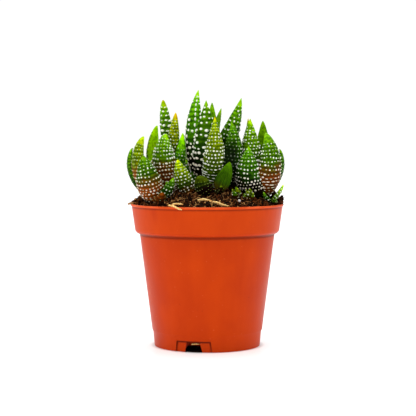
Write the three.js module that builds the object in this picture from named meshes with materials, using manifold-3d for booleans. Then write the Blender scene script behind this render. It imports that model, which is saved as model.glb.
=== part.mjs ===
// A potted haworthia: a clump of white-dotted rosettes in a small terracotta-coloured plastic pot.
// Millimetres, +Z up. The origin is under the middle of the pot, on the surface it stands on.
import * as THREE from 'three';
import { mergeVertices } from 'three/addons/utils/BufferGeometryUtils.js';
import Module from 'manifold-3d';

const wasm = await Module();
wasm.setup();

// Driving dimensions
const TURN_SIDES = 48;
const GAP = 0.3;
const POT = {
  height: 55.5, rimRadius: 30, rimRound: 0.25, wall: 0.8,
  lipHeight: 0.9, lipReach: 0.5, lipSlope: 0.2,
  bandFoot: 45, bandRadiusFoot: 28.4, bandEdge: [[-1.2, -0.6], [-0.36, 0], [0, 0.96]], ledgeInside: 45.6,
  bodyTop: 43.9, bodyTopRadius: 26.5, bodyFoot: 6.4, bodyFootRadius: 21.7,
  footStep: 0.4, footRise: 5.6, footRadius: 20.8, footRingWidth: 1.4,
  floorUnder: 2, floorTop: 3.2, floorCorner: 2.8,
};
const DRAIN = {
  count: 3, firstAngle: -105, pastFoot: 2, below: 1,
  recessTop: 13.5, recessFoot: 14.6, recessHeight: 4.3, recessDepth: 0.45,
  slotTop: 5.1, slotFoot: 7, slotHeight: 3.8, slotLength: 5,
};
const SOIL = {
  rimLevel: 54.3, crown: 7, roundness: 0.8, inset: 0.76, edgeFade: 7, wallLift: 0.1,
  rings: [0.18, 0.36, 0.54, 0.7, 0.84, 0.94, 1],
};
// Waves that make the soil lumpy, each as height, waves along x and y, and offset
const LUMPS = [[0.15, 0.9, 0.8, 0.9], [0.15, 0.9, -0.8, 1.7], [0.2, 1.6, -0.9, 2]];
// Heaps where the soil stands higher than the mound: centre x, y, height and spread
const HEAPS = [[-26, 2, 3, 3.6], [26.3, -3, 3.4, 3.6], [4, -13, 0.8, 6], [-8, 16, 0.8, 6]];

// Leaf form: how the width grows from the base and tapers to the tip, and the rows of raised dots
const LEAF = {
  widest: 0.26, baseShare: 0.72, taper: 0.9, depth: 0.34, depthTaper: 0.85, innerSwell: 0.1,
  rowPitch: 2.8, pathSteps: 6, dotHeight: 0.42, bareTip: 0.86,
  dottedFrom: 2.6, slimUnder: 4, mediumUnder: 5.5,
};
const STEM = { sides: 12, topShare: 0.8, height: 0.9 };

// Each rosette stands at (x, y, z) on a stem. A leaf is
// [azimuth, elevation at base, elevation at tip, length, width, sideways turn, distance out, rise, roll]
const ROSETTES = {
  rosette_front_left: {
    at: [-20.5, -10, 57.8], stem: 3.6,
    leaves: [
      [174, 28, 106, 20.8, 6.5, 0, 1, 1.5], [207, 52, 113, 22.6, 8, 0, 1, 3],
      [247, 38, 102, 19.4, 10.6, 8, 1.5, 0.2], [315, 25, 60, 12.8, 6.5, 0, 1.5, 0.3],
      [290, 2, 40, 10, 6, 0, 2, -0.5],
      [70, 30, 70, 6, 4.5, 0, 1, 0.8], [125, 35, 85, 10, 6, 0, 1, 1], [10, 35, 80, 7.5, 5, 0, 1, 1],
    ],
  },
  rosette_mid_left: {
    at: [-15.5, 3, 60], stem: 3.6,
    leaves: [
      [140, 45, 113, 27.5, 8, 0, 1, 1], [238, 84, 88, 33.5, 6.5, 0, 0.6, 3], [290, 70, 78, 30.5, 7, 0, 1, 2],
      [270, 35, 112, 25, 11, -38, 1.5, 1], [310, 60, 82, 23.5, 6.3, 0, 1.5, 1],
      [95, 50, 95, 23.5, 8, 0, 1, 1.5], [50, 50, 100, 20, 7.5, 0, 1, 1], [175, 35, 105, 15, 6.5, 0, 1, 0],
    ],
  },
  rosette_centre: {
    at: [1.5, 3, 62], stem: 4,
    leaves: [
      [218, 57, 106, 39.2, 10, 10, 1, 1], [258, 54, 95, 35, 11.5, 5, 1, 1], [90, 68, 93, 32.5, 6, 0, 0.8, 2],
      [60, 75, 79, 30.5, 5.5, 0, 0.8, 2], [279, 38, 106, 31.2, 9, 10, 1.5, 0],
      [325, 60, 77, 35.5, 9.2, -10, 1, 2], [310, 20, 113, 30.5, 9, -10, 1.5, 1],
      [2, 24, 112, 23.5, 7, 0, 1.5, 1], [140, 52, 100, 28, 9, 0, 1, 1],
      [105, 50, 98, 24, 8.5, 0, 1.5, 0.5], [35, 45, 105, 24, 8.5, 0, 1.5, 0.5],
      [195, 20, 85, 10, 7, 0, 1.5, 0.3], [340, 18, 85, 11, 6.5, 0, 1.5, 0.3],
    ],
  },
  rosette_right: {
    at: [20.6, -2, 60.6], stem: 3.8,
    leaves: [
      [222, 74, 88, 26.8, 9, 10, 1, 2], [73, 65, 98, 26, 7, 0, 1, 2], [294, 33, 126, 26.6, 10.6, 8, 1.5, 0],
      [5, 36, 102, 19, 7, 0, 1.5, 0.3], [232, 32, 112, 20.5, 11.2, 25, 1.5, 0],
      [120, 70, 92, 20.5, 6, 0, 1, 2],
      [100, 40, 100, 16, 7.5, 0, 1, 1], [45, 40, 105, 16, 7.5, 0, 1, 1], [165, 45, 100, 8, 6, 0, 1, 1],
    ],
  },
  pup_front_left: {
    at: [-4.7, -8.4, 61], stem: 1.8,
    leaves: [[205, 50, 86, 13.6, 9, 0, 1, 0], [300, 40, 80, 4.5, 3.9, 0, 0.5, 0.3]],
  },
  pup_front_middle: {
    at: [3.8, -14, 61.2], stem: 1.6,
    leaves: [
      [15, 60, 72, 12, 6.2, 0, 0.8, 0, 50], [178, 12, 62, 7.5, 6, 0, 1, 0.5],
      [300, 25, 70, 4, 3.5, 0, 0.5, 0.3],
    ],
  },
  pup_rim: {
    at: [25.2, -9.3, 56.9], stem: 1.2,
    leaves: [
      [350, 45, 85, 7.2, 3.2, 0, 0.3, 0.3], [205, 25, 60, 4, 2.8, 0, 0.3, 0.3],
      [285, 15, 60, 3.4, 2.8, 0, 0.3, 0.2],
    ],
  },
};

// Rosettes whose leaves follow the plant's own spiral, from the outer leaf to the inner one
const SPIRAL = {
  turn: 137.5, lift: [22, 70], tipLift: [98, 92], lengthShare: [0.8, 1], widthShare: [1, 0.65],
  outShare: [0.17, 0], riseShare: [0, 0.25],
};
const SPIRALS = {
  rosette_back: { at: [5, 20.5, 60], stem: 3.4, count: 8, length: 21.5, width: 8.2, first: 80 },
  rosette_back_left: { at: [-12, 17, 60], stem: 2.8, count: 7, length: 16, width: 6.8, first: 30 },
  rosette_back_right: { at: [19.5, 14.5, 58.8], stem: 2.8, count: 6, length: 17, width: 7.2, first: 60 },
  pup_right_a: { at: [11, -17.5, 59.2], stem: 1, count: 4, length: 3.2, width: 2.3, first: 250 },
  pup_right_b: { at: [16.5, -15, 58.7], stem: 1.1, count: 4, length: 3.8, width: 2.6, first: 200 },
};

// Dry roots and straw on the soil: radius and the points that they pass
const ROOTS = {
  root_long: {
    radius: 0.65,
    runs: [[[-4, -21, 58.4], [-1.2, -22, 58.7], [2.8, -23.4, 57.9], [5.6, -24.4, 57.3], [8.6, -26, 56.5]]],
  },
  root_forked: {
    radius: 0.5,
    runs: [
      [[-14.6, -24.4, 56.4], [-13.4, -26.5, 56.35], [-12.2, -28, 56.1], [-11, -29, 55.5], [-9.4, -30, 55]],
      [[-13.4, -26.5, 56.35], [-12.4, -26, 56.9], [-10.9, -25.6, 57], [-9, -26.2, 56.8]],
    ],
  },
  straw_left: { radius: 0.45, runs: [[[-31.1, -3, 56.1], [-29.6, -4, 56.5], [-27.6, -5, 57]]] },
};
const ROOT = { sides: 6, step: 1.6, room: 0.15 };
const GRAIN = { at: [12.2, -22, 57.9], radius: 0.7 };
// Room left round each leaf in the soil, past the gap, because the room is cut with coarser faces
const LEAF_ROOM = 1;

const { degToRad: rad, lerp } = THREE.MathUtils;

// Turns a closed geometry into a solid, with its faces turned outwards
function toSolid(geometry) {
  geometry.deleteAttribute('normal');
  geometry.deleteAttribute('uv');
  const merged = mergeVertices(geometry, 1e-4);
  const points = merged.attributes.position.array;
  const index = merged.index.array;
  const tris = [];
  for (let i = 0; i < index.length; i += 3) {
    const [a, b, c] = [index[i], index[i + 1], index[i + 2]];
    if (a !== b && b !== c && c !== a) tris.push(a, b, c);
  }
  return solidOf(Array.from(points), tris);
}

function solidOf(points, tris) {
  const p = (i) => new THREE.Vector3(points[3 * i], points[3 * i + 1], points[3 * i + 2]);
  let volume = 0;
  for (let i = 0; i < tris.length; i += 3) volume += p(tris[i]).dot(p(tris[i + 1]).cross(p(tris[i + 2])));
  const out = volume > 0 ? tris : tris.slice().reverse();
  return new wasm.Manifold(new wasm.Mesh({
    numProp: 3, vertProperties: new Float32Array(points), triVerts: new Uint32Array(out),
  }));
}

function toMesh(name, solid, material) {
  const mesh = solid.getMesh();
  const geometry = new THREE.BufferGeometry();
  const points = new Float32Array(mesh.numVert * 3);
  for (let i = 0; i < mesh.numVert; i++) {
    for (let k = 0; k < 3; k++) points[3 * i + k] = mesh.vertProperties[i * mesh.numProp + k];
  }
  geometry.setAttribute('position', new THREE.BufferAttribute(points, 3));
  geometry.setIndex(new THREE.BufferAttribute(new Uint32Array(mesh.triVerts), 1));
  geometry.computeVertexNormals();
  const out = new THREE.Mesh(geometry, material);
  out.name = name;
  return out;
}

function biggest(solid) {
  return solid.decompose().sort((a, b) => b.volume() - a.volume())[0];
}

function turned(profile) {
  const lathe = new THREE.LatheGeometry(profile.map(([r, z]) => new THREE.Vector2(r, z)), TURN_SIDES);
  lathe.rotateX(Math.PI / 2);
  return toSolid(lathe);
}

// The pot: lip, band, ledge, tapering body, foot ring and raised floor
function potRadius(z) {
  const t = (z - POT.bodyFoot) / (POT.bodyTop - POT.bodyFoot);
  return POT.bodyFootRadius + t * (POT.bodyTopRadius - POT.bodyFootRadius);
}

function potInside() {
  const corner = POT.floorTop + POT.floorCorner;
  return [
    [0, POT.floorTop], [POT.footRadius - POT.footRingWidth, POT.floorTop],
    [potRadius(corner) - POT.wall, corner], [POT.bodyTopRadius - POT.wall, POT.bodyTop],
    [POT.bandRadiusFoot - POT.wall, POT.ledgeInside], [POT.rimRadius - POT.wall, POT.height],
  ];
}

function potSolid() {
  const { rimRadius, rimRound, height, footRadius } = POT;
  const lipFoot = height - POT.lipHeight;
  const ringInside = footRadius - POT.footRingWidth;
  const outside = [
    [0, POT.floorUnder], [ringInside, POT.floorUnder], [ringInside, 0], [footRadius, 0],
    [POT.bodyFootRadius - POT.footStep, POT.footRise], [POT.bodyFootRadius, POT.bodyFoot],
    [POT.bodyTopRadius, POT.bodyTop],
    ...POT.bandEdge.map(([out, up]) => [POT.bandRadiusFoot + out, POT.bandFoot + up]),
    [rimRadius - POT.lipReach, lipFoot - POT.lipSlope], [rimRadius, lipFoot],
    [rimRadius, height - rimRound], [rimRadius - rimRound, height],
  ];
  const pot = turned([...outside, ...potInside().reverse()]);
  let drains = null;
  for (let i = 0; i < DRAIN.count; i++) {
    const cut = drainCut().rotate([0, 0, DRAIN.firstAngle + (i * 360) / DRAIN.count]);
    drains = drains ? drains.add(cut) : cut;
  }
  return pot.subtract(drains);
}

// One set-back recess in the foot with the slot that runs through it, facing +X
function drainCut() {
  const { below, pastFoot } = DRAIN;
  const trapezoid = (top, foot, height, from, to) => {
    const lean = ((foot - top) / 2 / height) * below;
    const shape = new THREE.Shape([
      new THREE.Vector2(-foot / 2 - lean, -below), new THREE.Vector2(foot / 2 + lean, -below),
      new THREE.Vector2(top / 2, height), new THREE.Vector2(-top / 2, height),
    ]);
    const block = new THREE.ExtrudeGeometry(shape, { depth: to - from, bevelEnabled: false });
    block.rotateX(Math.PI / 2).rotateZ(Math.PI / 2).translate(from, 0, 0);
    return toSolid(block);
  };
  const faceOut = POT.footRadius + pastFoot;
  const faceIn = POT.footRadius - DRAIN.recessDepth;
  const slotIn = POT.footRadius - DRAIN.slotLength;
  const recess = trapezoid(DRAIN.recessTop, DRAIN.recessFoot, DRAIN.recessHeight, slotIn, faceOut);
  const slot = trapezoid(DRAIN.slotTop, DRAIN.slotFoot, DRAIN.slotHeight, slotIn, faceOut);
  const backTop = [POT.bodyFootRadius - POT.footStep - DRAIN.recessDepth, POT.footRise];
  const core = turned([[0, -pastFoot], [faceIn, -pastFoot], [faceIn, 0], backTop, [0, POT.footRise]]);
  return recess.subtract(core).add(slot);
}

// The soil: a low mound with lumps and heaps, filling the pot down to its floor
function soilLevel(x, y) {
  const edge = POT.rimRadius - POT.wall - GAP;
  const share = Math.max(0, 1 - (x * x + y * y) / (edge * edge));
  const mound = SOIL.rimLevel + SOIL.crown * share ** SOIL.roundness;
  const lumps = LUMPS.reduce((sum, [height, alongX, alongY, offset]) =>
    sum + height * Math.sin(alongX * x + alongY * y + offset), 0);
  const heaps = HEAPS.reduce((sum, [hx, hy, height, spread]) =>
    sum + height * Math.exp(-((x - hx) ** 2 + (y - hy) ** 2) / (spread * spread)), 0);
  return mound + (lumps + heaps) * Math.min(1, share * SOIL.edgeFade);
}

function soilSolid() {
  const points = [];
  const tris = [];
  const rings = [];
  const ring = (radius, levelAt) => {
    const first = points.length / 3;
    for (let i = 0; i < TURN_SIDES; i++) {
      const a = (i * 2 * Math.PI) / TURN_SIDES;
      const [x, y] = [radius * Math.cos(a), radius * Math.sin(a)];
      points.push(x, y, levelAt(x, y));
    }
    rings.push(first);
  };
  points.push(0, 0, soilLevel(0, 0));
  const top = POT.rimRadius - POT.wall - SOIL.inset;
  for (const share of SOIL.rings) ring(top * share, soilLevel);
  for (const [r, z] of potInside().slice(1, -1).reverse()) {
    ring(r - GAP, () => z + (z > POT.floorTop ? SOIL.wallLift : GAP));
  }
  points.push(0, 0, POT.floorTop + GAP);
  const last = points.length / 3 - 1;
  for (let i = 0; i < TURN_SIDES; i++) {
    const j = (i + 1) % TURN_SIDES;
    tris.push(0, rings[0] + i, rings[0] + j);
    for (let k = 0; k + 1 < rings.length; k++) {
      const [a, b, c, d] = [rings[k] + i, rings[k + 1] + i, rings[k + 1] + j, rings[k] + j];
      tris.push(a, b, c, a, c, d);
    }
    const foot = rings[rings.length - 1];
    tris.push(last, foot + j, foot + i);
  }
  return solidOf(points, tris);
}

// The directions along a leaf, across it and to its inner face, at share t of its length
function leafFrame([azimuth, lift, tipLift, , , turn, , , roll = 0], t) {
  const lean = rad(lerp(lift, tipLift, t));
  const way = rad(azimuth + turn * t);
  const level = Math.cos(lean);
  const along = new THREE.Vector3(level * Math.cos(way), level * Math.sin(way), Math.sin(lean));
  const side = new THREE.Vector3(-Math.sin(way), Math.cos(way), 0).applyAxisAngle(along, rad(roll));
  return { along, side, inner: new THREE.Vector3().crossVectors(along, side) };
}

// Faces round the outer side: fewer on a slim leaf, and on one grown to cut its room in the soil
function facesAcross(width, grow) {
  if (width < LEAF.slimUnder) return 3;
  return width < LEAF.mediumUnder || grow ? 4 : 6;
}

// One leaf as a closed shell: a rounded outer face with raised dots, a slightly swollen inner face
function leafSolid(at, leaf, grow = 0) {
  const [azimuth, , , length, width, , out, rise] = leaf;
  const rows = Math.max(3, Math.round(length / (grow ? LEAF.rowPitch * 1.6 : LEAF.rowPitch)));
  const columns = facesAcross(width, grow);
  const dot = grow || width < LEAF.dottedFrom ? 0 : LEAF.dotHeight;
  const here = new THREE.Vector3(
    at[0] + out * Math.cos(rad(azimuth)), at[1] + out * Math.sin(rad(azimuth)), at[2] + rise);
  const points = [];
  for (let i = 0; i < rows; i++) {
    const t = i / rows;
    const { along, side, inner } = leafFrame(leaf, t);
    const share = widthShare(t);
    const half = (share * width) / 2 + grow;
    const depth = LEAF.depth * width * share ** LEAF.depthTaper + grow;
    const middle = here.clone().addScaledVector(along, i === 0 ? -grow : 0);
    for (let k = 0; k <= columns; k++) {
      const angle = (k * Math.PI) / columns;
      const dotted = k > 0 && k < columns && (i + k) % 2 === 1 && i > 0 && t < LEAF.bareTip;
      const raised = dotted ? dot : 0;
      const p = middle.clone().addScaledVector(side, (half + raised) * Math.cos(angle))
        .addScaledVector(inner, -(depth + raised) * Math.sin(angle));
      points.push(p.x, p.y, p.z);
    }
    const swell = middle.clone().addScaledVector(inner, LEAF.innerSwell * width * share + grow);
    points.push(swell.x, swell.y, swell.z);
    for (let step = 0; step < LEAF.pathSteps; step++) {
      const u = (i + (step + 0.5) / LEAF.pathSteps) / rows;
      here.addScaledVector(leafFrame(leaf, u).along, length / rows / LEAF.pathSteps);
    }
  }
  here.addScaledVector(leafFrame(leaf, 1).along, grow);
  points.push(here.x, here.y, here.z);
  return solidOf(points, leafFaces(rows, columns + 2));
}

// Triangles between the rings of a leaf, and those that close its tip and its base
function leafFaces(rows, across) {
  const tris = [];
  const tip = rows * across;
  for (let k = 0; k < across; k++) {
    const next = (k + 1) % across;
    for (let i = 0; i + 1 < rows; i++) {
      const [a, b] = [i * across + k, i * across + next];
      const [c, d] = [b + across, a + across];
      if ((i + k) % 2) tris.push(a, b, c, a, c, d);
      else tris.push(a, b, d, b, c, d);
    }
    tris.push(tip - across + k, tip - across + next, tip);
  }
  for (let k = 1; k + 1 < across; k++) tris.push(0, k + 1, k);
  return tris;
}

function widthShare(t) {
  const quarter = Math.PI / 2;
  if (t < LEAF.widest) return LEAF.baseShare + (1 - LEAF.baseShare) * Math.sin((quarter * t) / LEAF.widest);
  return Math.cos((quarter * (t - LEAF.widest)) / (1 - LEAF.widest)) ** LEAF.taper;
}

function spiralLeaves({ count, length, width, first }) {
  return Array.from({ length: count }, (_, i) => {
    const inward = ([outer, inner]) => lerp(outer, inner, i / (count - 1));
    return [
      first + i * SPIRAL.turn, inward(SPIRAL.lift), inward(SPIRAL.tipLift),
      length * inward(SPIRAL.lengthShare), width * inward(SPIRAL.widthShare), 0,
      width * inward(SPIRAL.outShare), width * inward(SPIRAL.riseShare),
    ];
  });
}

// The short stem that the leaves grow from, down into its hole in the soil
function stemSolid([x, y, z], radius, grow = 0) {
  const foot = radius + grow;
  const raised = radius * STEM.height;
  const stem = new THREE.CylinderGeometry(radius * STEM.topShare + grow, foot, raised + foot, STEM.sides);
  stem.rotateX(Math.PI / 2).translate(x, y, z + (raised - foot) / 2);
  return toSolid(stem);
}

function rosetteSolid({ at, stem, leaves }) {
  return leaves.reduce((sum, leaf) => sum.add(leafSolid(at, leaf)), stemSolid(at, stem));
}

// The room that the stem and the lowest stretch of the leaves take up in the soil
function footSolid({ at, stem, leaves }) {
  const room = GAP + LEAF_ROOM;
  return leaves.reduce((sum, leaf) => sum.add(leafSolid(at, leaf, room)), stemSolid(at, stem, GAP));
}

// A root as round rods along its runs, grown all round where it cuts its room in the soil
function rootSolid({ radius, runs }, grow = 0) {
  const section = new THREE.Shape(Array.from({ length: ROOT.sides }, (_, i) => {
    const a = (i * 2 * Math.PI) / ROOT.sides;
    return new THREE.Vector2((radius + grow) * Math.cos(a), (radius + grow) * Math.sin(a));
  }));
  const pastEnd = (end, before) => end.clone().add(end.clone().sub(before).setLength(grow));
  return runs.map((run) => {
    const points = run.map((p) => new THREE.Vector3(...p));
    const first = pastEnd(points[0], points[1]);
    const last = pastEnd(points[points.length - 1], points[points.length - 2]);
    const path = new THREE.CatmullRomCurve3([first, ...points.slice(1, -1), last]);
    const steps = Math.ceil(path.getLength() / ROOT.step);
    return toSolid(new THREE.ExtrudeGeometry(section, { steps, bevelEnabled: false, extrudePath: path }));
  }).reduce((sum, tube) => sum.add(tube));
}

const MATERIALS = {
  pot: new THREE.MeshStandardMaterial({ color: 0xc8421a, roughness: 0.45, metalness: 0 }),
  soil: new THREE.MeshStandardMaterial({ color: 0x2e1f14, roughness: 0.95, metalness: 0 }),
  leaf: new THREE.MeshStandardMaterial({ color: 0x4f8a1e, roughness: 0.5, metalness: 0 }),
  root: new THREE.MeshStandardMaterial({ color: 0xc79a5c, roughness: 0.8, metalness: 0 }),
  grain: new THREE.MeshStandardMaterial({ color: 0xe8e4da, roughness: 0.9, metalness: 0 }),
};

function build() {
  const plant = new THREE.Group();
  const rosettes = { ...ROSETTES };
  for (const [name, rule] of Object.entries(SPIRALS)) {
    rosettes[name] = { ...rule, leaves: spiralLeaves(rule) };
  }
  let soil = soilSolid();
  for (const [name, rosette] of Object.entries(rosettes)) {
    plant.add(toMesh(name, rosetteSolid(rosette), MATERIALS.leaf));
    soil = soil.subtract(footSolid(rosette));
  }
  for (const [name, root] of Object.entries(ROOTS)) {
    plant.add(toMesh(name, rootSolid(root), MATERIALS.root));
    soil = soil.subtract(rootSolid(root, GAP + ROOT.room));
  }
  const grain = (grow) =>
    toSolid(new THREE.IcosahedronGeometry(GRAIN.radius + grow, 0).translate(...GRAIN.at));
  plant.add(toMesh('perlite_grain', grain(0), MATERIALS.grain));
  plant.add(toMesh('soil', biggest(soil.subtract(grain(GAP))), MATERIALS.soil));
  plant.add(toMesh('pot', potSolid(), MATERIALS.pot));
  return plant;
}

export default build();
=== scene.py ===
# Looks of a potted haworthia: white-dotted rosettes in a small terracotta-coloured plastic pot.
# The dictionaries hold millimetres and degrees, and the meshes are in metres, in the frame's own axes.
import math
import random

import bpy
import numpy as np
from mathutils import Euler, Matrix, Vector, noise


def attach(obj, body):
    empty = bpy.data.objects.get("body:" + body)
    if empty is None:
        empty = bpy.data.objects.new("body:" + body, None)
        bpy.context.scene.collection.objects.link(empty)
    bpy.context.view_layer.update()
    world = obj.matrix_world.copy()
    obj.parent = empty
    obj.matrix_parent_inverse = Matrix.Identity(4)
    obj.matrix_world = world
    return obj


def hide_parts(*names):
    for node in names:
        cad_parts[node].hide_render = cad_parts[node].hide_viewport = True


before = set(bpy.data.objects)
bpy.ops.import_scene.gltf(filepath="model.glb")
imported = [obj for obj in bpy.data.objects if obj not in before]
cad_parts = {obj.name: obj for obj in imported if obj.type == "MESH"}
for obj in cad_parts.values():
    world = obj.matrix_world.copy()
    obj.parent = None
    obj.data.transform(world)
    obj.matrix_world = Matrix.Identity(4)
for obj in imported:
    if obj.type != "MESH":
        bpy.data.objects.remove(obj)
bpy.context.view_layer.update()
mm = 0.001
print("Frame:", len(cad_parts), "nodes")


def pick(piece):
    bpy.ops.object.select_all(action="DESELECT")
    piece.select_set(True)
    bpy.context.view_layer.objects.active = piece


def applyPlace():
    bpy.ops.object.transform_apply(location=True, rotation=True, scale=True)


def addMesh(kind, location=(0, 0, 0), **settings):
    # A new primitive, with its place in its mesh and all else deselected
    bpy.ops.object.select_all(action="DESELECT")
    getattr(bpy.ops.mesh, "primitive_" + kind + "_add")(location=location, **settings)
    applyPlace()
    return bpy.context.object


def startEdit(piece, kind="VERT", select="DESELECT"):
    pick(piece)
    bpy.ops.object.mode_set(mode="EDIT")
    bpy.ops.mesh.select_mode(type=kind)
    bpy.ops.mesh.select_all(action=select)


def endEdit():
    bpy.ops.object.mode_set(mode="OBJECT")


def faceOutward(inside=False):
    # The last step of an edit
    bpy.ops.mesh.select_all(action="SELECT")
    bpy.ops.mesh.normals_make_consistent(inside=inside)
    endEdit()


def drawRings(rings):
    # Extrudes the open edge of a mesh from ring to ring, each one a radius and a level
    bpy.ops.mesh.select_non_manifold(extend=False)
    for (radius, level, *_), (nextRadius, nextLevel, *_) in zip(rings, rings[1:]):
        bpy.ops.mesh.extrude_region_move(TRANSFORM_OT_translate={"value": (0, 0, (nextLevel - level) * mm)})
        grow = nextRadius / radius
        bpy.ops.transform.resize(value=(grow, grow, 1), center_override=(0, 0, nextLevel * mm))


def applyModifier(piece, kind, **settings):
    bpy.context.view_layer.objects.active = piece
    modifier = piece.modifiers.new(kind.title(), kind)
    for setting, value in settings.items():
        setattr(modifier, setting, value)
    bpy.ops.object.modifier_apply(modifier=modifier.name)


def roughen(piece, name, kind, size, strength, **settings):
    # Pushes a mesh in and out by a texture of that grain size
    texture = bpy.data.textures.new(name, kind)
    texture.noise_scale = size * mm
    applyModifier(piece, "DISPLACE", texture=texture, texture_coords="LOCAL", strength=strength * mm,
                  mid_level=0.5, **settings)


def joinPieces(name, pieces):
    pick(pieces[0])
    for piece in pieces:
        piece.select_set(True)
    if len(pieces) > 1:
        bpy.ops.object.join()
    pieces[0].name = pieces[0].data.name = name
    return pieces[0]


def manyCopies(name, blank, places):
    # One mesh of copies of a blank; places has a row of points for each copy
    size = len(blank.data.vertices)
    faces = [tuple(polygon.vertices) for polygon in blank.data.polygons]
    copied = [tuple(v + size * k for v in face) for k in range(len(places)) for face in faces]
    mesh = bpy.data.meshes.new(name)
    mesh.from_pydata(np.asarray(places).reshape(-1, 3).tolist(), [], copied)
    piece = bpy.data.objects.new(name, mesh)
    bpy.context.scene.collection.objects.link(piece)
    return piece


def blankPoints(blank):
    points = np.empty(len(blank.data.vertices) * 3)
    blank.data.vertices.foreach_get("co", points)
    return points.reshape(-1, 3)


def paint(piece, **values):
    # Writes point attributes that the materials read
    count = len(piece.data.vertices)
    for name, value in values.items():
        attribute = piece.data.attributes.new(name, "FLOAT", "POINT")
        attribute.data.foreach_set("value", np.broadcast_to(value, count).astype(np.float32))


def shadeSmooth(piece, angle=180):
    pick(piece)
    if angle < 180:
        bpy.ops.object.shade_smooth_by_angle(angle=math.radians(angle))
    else:
        bpy.ops.object.shade_smooth()


def finishPiece(piece, slot, material, *nodes):
    piece.data.materials.append(material)
    if nodes:
        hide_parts(*nodes)
    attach(piece, "root")


# Material helpers: an input is a plain value or the output of another node
def isSocket(value):
    return isinstance(value, bpy.types.NodeSocket)


def setInputs(node, inputs):
    for socket, value in inputs.items():
        if isSocket(value):
            node.id_data.links.new(value, node.inputs[socket])
        else:
            node.inputs[socket].default_value = value


def addNode(kind, inputs, tree=None, **settings):
    # A node whose inputs come from others goes into their tree
    tree = tree or next(value.id_data for value in inputs.values() if isSocket(value))
    node = tree.nodes.new("ShaderNode" + kind)
    for setting, value in settings.items():
        setattr(node, setting, value)
    setInputs(node, inputs)
    return node


def shaderColour(value):
    # Three numbers are an sRGB colour from 0 to 255, and the shaders want a linear one
    if isSocket(value) or len(value) != 3:
        return value
    shares = [part / 255 for part in value]
    return (*[s / 12.92 if s <= 0.04045 else ((s + 0.055) / 1.055) ** 2.4 for s in shares], 1)


def mixColour(factor, first, second, blend="MIX"):
    inputs = {0: factor, 6: shaderColour(first), 7: shaderColour(second)}
    return addNode("Mix", inputs, data_type="RGBA", blend_type=blend).outputs[2]


def calc(first, sign, second):
    operation = {"+": "ADD", "-": "SUBTRACT", "*": "MULTIPLY"}[sign]
    return addNode("Math", {0: first, 1: second}, operation=operation).outputs[0]


def tint(colour, mask, share, over):
    # Lays a colour over another where the mask shows, up to that share
    return mixColour(calc(mask, "*", share), colour, over)


def ramp(value, start, end, low=0.0, high=1.0):
    # Goes smoothly from low to high while the value goes from start to end
    inputs = {"Value": value, "From Min": start, "From Max": end, "To Min": low, "To Max": high}
    return addNode("MapRange", inputs, interpolation_type="SMOOTHSTEP").outputs[0]


def readMark(tree, name):
    return addNode("Attribute", {}, tree, attribute_name=name).outputs["Fac"]


def objectPlace(tree):
    return addNode("TexCoord", {}, tree).outputs["Object"]


def feedShader(tree, **inputs):
    inputs = {socket.replace("_", " "): value for socket, value in inputs.items()}
    setInputs(tree.nodes["Principled BSDF"], inputs)


def startMaterial(name, **plain):
    material = bpy.data.materials.new(name)
    material.use_nodes = True
    feedShader(material.node_tree, **plain)
    return material, material.node_tree


def startGroup(name, inputs, outputs):
    group = bpy.data.node_groups.new(name, "ShaderNodeTree")
    for way, sockets in (("INPUT", inputs), ("OUTPUT", outputs)):
        for socket, kind in sockets.items():
            group.interface.new_socket(socket, in_out=way, socket_type="NodeSocket" + kind)
    return group, group.nodes.new("NodeGroupInput").outputs, group.nodes.new("NodeGroupOutput")


# Fine grain: a cloudy value and a normal that is bumped by it
grain, given, result = startGroup(
    "grain", {"Place": "Vector", "Scale": "Float", "Depth": "Float"}, {"Value": "Float", "Normal": "Vector"})
place = {"Vector": given["Place"], "Scale": given["Scale"]}
clouds = addNode("TexNoise", {**place, "Detail": 4.0}).outputs[0]
bump = addNode("Bump", {"Height": clouds, "Strength": 1.0, "Distance": given["Depth"]}).outputs[0]
setInputs(result, {"Value": clouds, "Normal": bump})

# Specks: small scattered spots, more of them as Cover grows
specks, given, result = startGroup(
    "specks", {"Place": "Vector", "Scale": "Float", "Cover": "Float"}, {"Mask": "Float"})
place = {"Vector": given["Place"], "Scale": given["Scale"]}
cells = addNode("TexVoronoi", {**place, "Randomness": 1.0}).outputs["Distance"]
reach = calc(addNode("TexNoise", {**place, "Detail": 2.0}).outputs[0], "*", given["Cover"])
setInputs(result, {"Mask": ramp(calc(reach, "-", cells), 0.0, 0.12)})


def addGrain(tree, scale, depth=0.0, place=None):
    place = objectPlace(tree) if place is None else place
    return addNode("Group", {"Place": place, "Scale": scale, "Depth": depth}, tree, node_tree=grain).outputs


def addSpecks(tree, scale, cover):
    inputs = {"Place": objectPlace(tree), "Scale": scale, "Cover": cover}
    return addNode("Group", inputs, tree, node_tree=specks).outputs["Mask"]


# Camera, light and floor
camera = {"place": (0.31, -520, 81.7), "pitchDown": 3.04,
          "focalPixels": 1322, "framePixels": 416, "sensor": 36}
bpy.ops.object.camera_add(
    location=[v * mm for v in camera["place"]], rotation=(math.radians(90 - camera["pitchDown"]), 0, 0))
lens = bpy.context.object
lens.data.sensor_width = camera["sensor"]
lens.data.lens = camera["sensor"] * camera["focalPixels"] / camera["framePixels"]
lens.data.clip_start = 0.01
bpy.context.scene.camera = lens

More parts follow.
